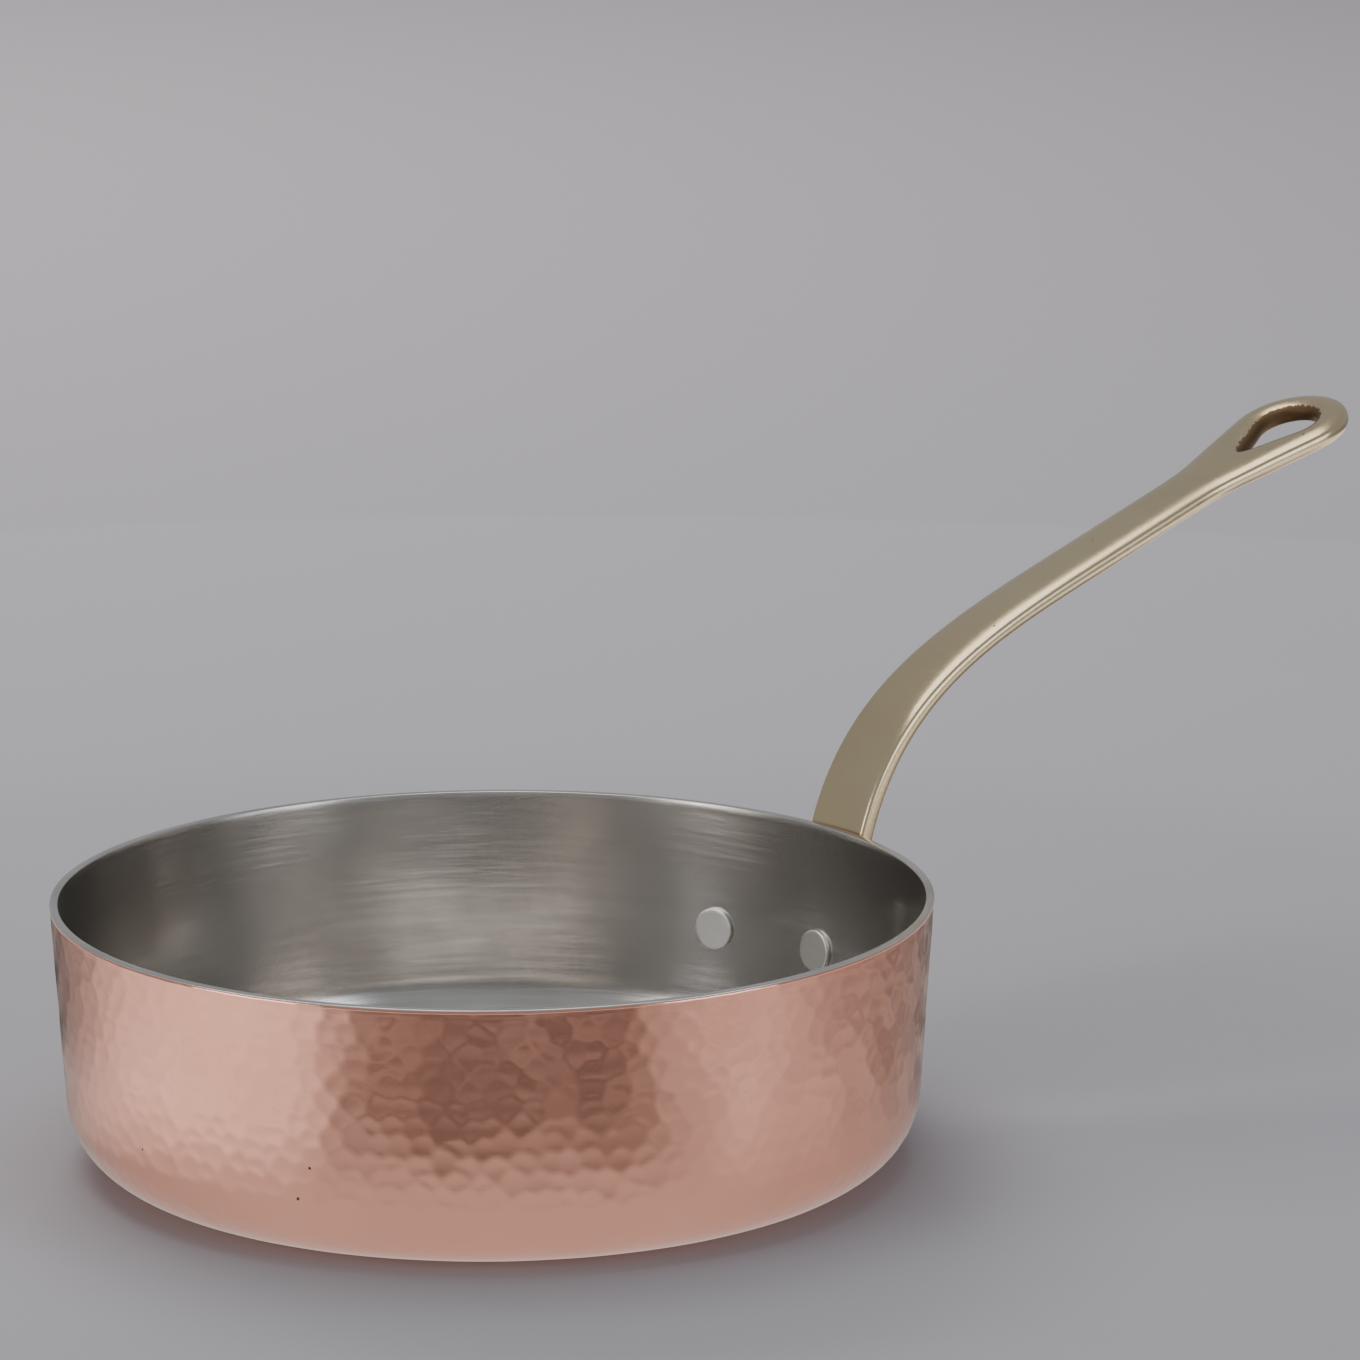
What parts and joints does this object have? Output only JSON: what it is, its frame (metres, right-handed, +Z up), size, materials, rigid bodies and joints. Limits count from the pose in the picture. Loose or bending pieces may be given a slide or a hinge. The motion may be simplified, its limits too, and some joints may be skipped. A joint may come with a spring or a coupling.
{
  "type": "copper saucepan",
  "caption": "Low hammered copper saucepan, tinned inside, with a riveted cast brass handle that curves up to a hanging eye.",
  "frame": {"origin": "centre of the pan's base, on its underside", "axes": "+Z up out of the pan, +X along the handle from the pan towards its tip"},
  "size_m": [0.4363, 0.24, 0.1741],
  "materials": {
    "hammered_copper": "hammered and polished",
    "wiped_tin": "satin",
    "cast_brass": "satin",
    "tinned_rivet": "satin"
  },
  "bodies": {
    "root": {"pan_body": "hammered_copper", "tin_lining": "wiped_tin", "handle": "cast_brass", "rivet_left": "tinned_rivet", "rivet_centre": "tinned_rivet", "rivet_right": "tinned_rivet"}
  },
  "joints": []
}
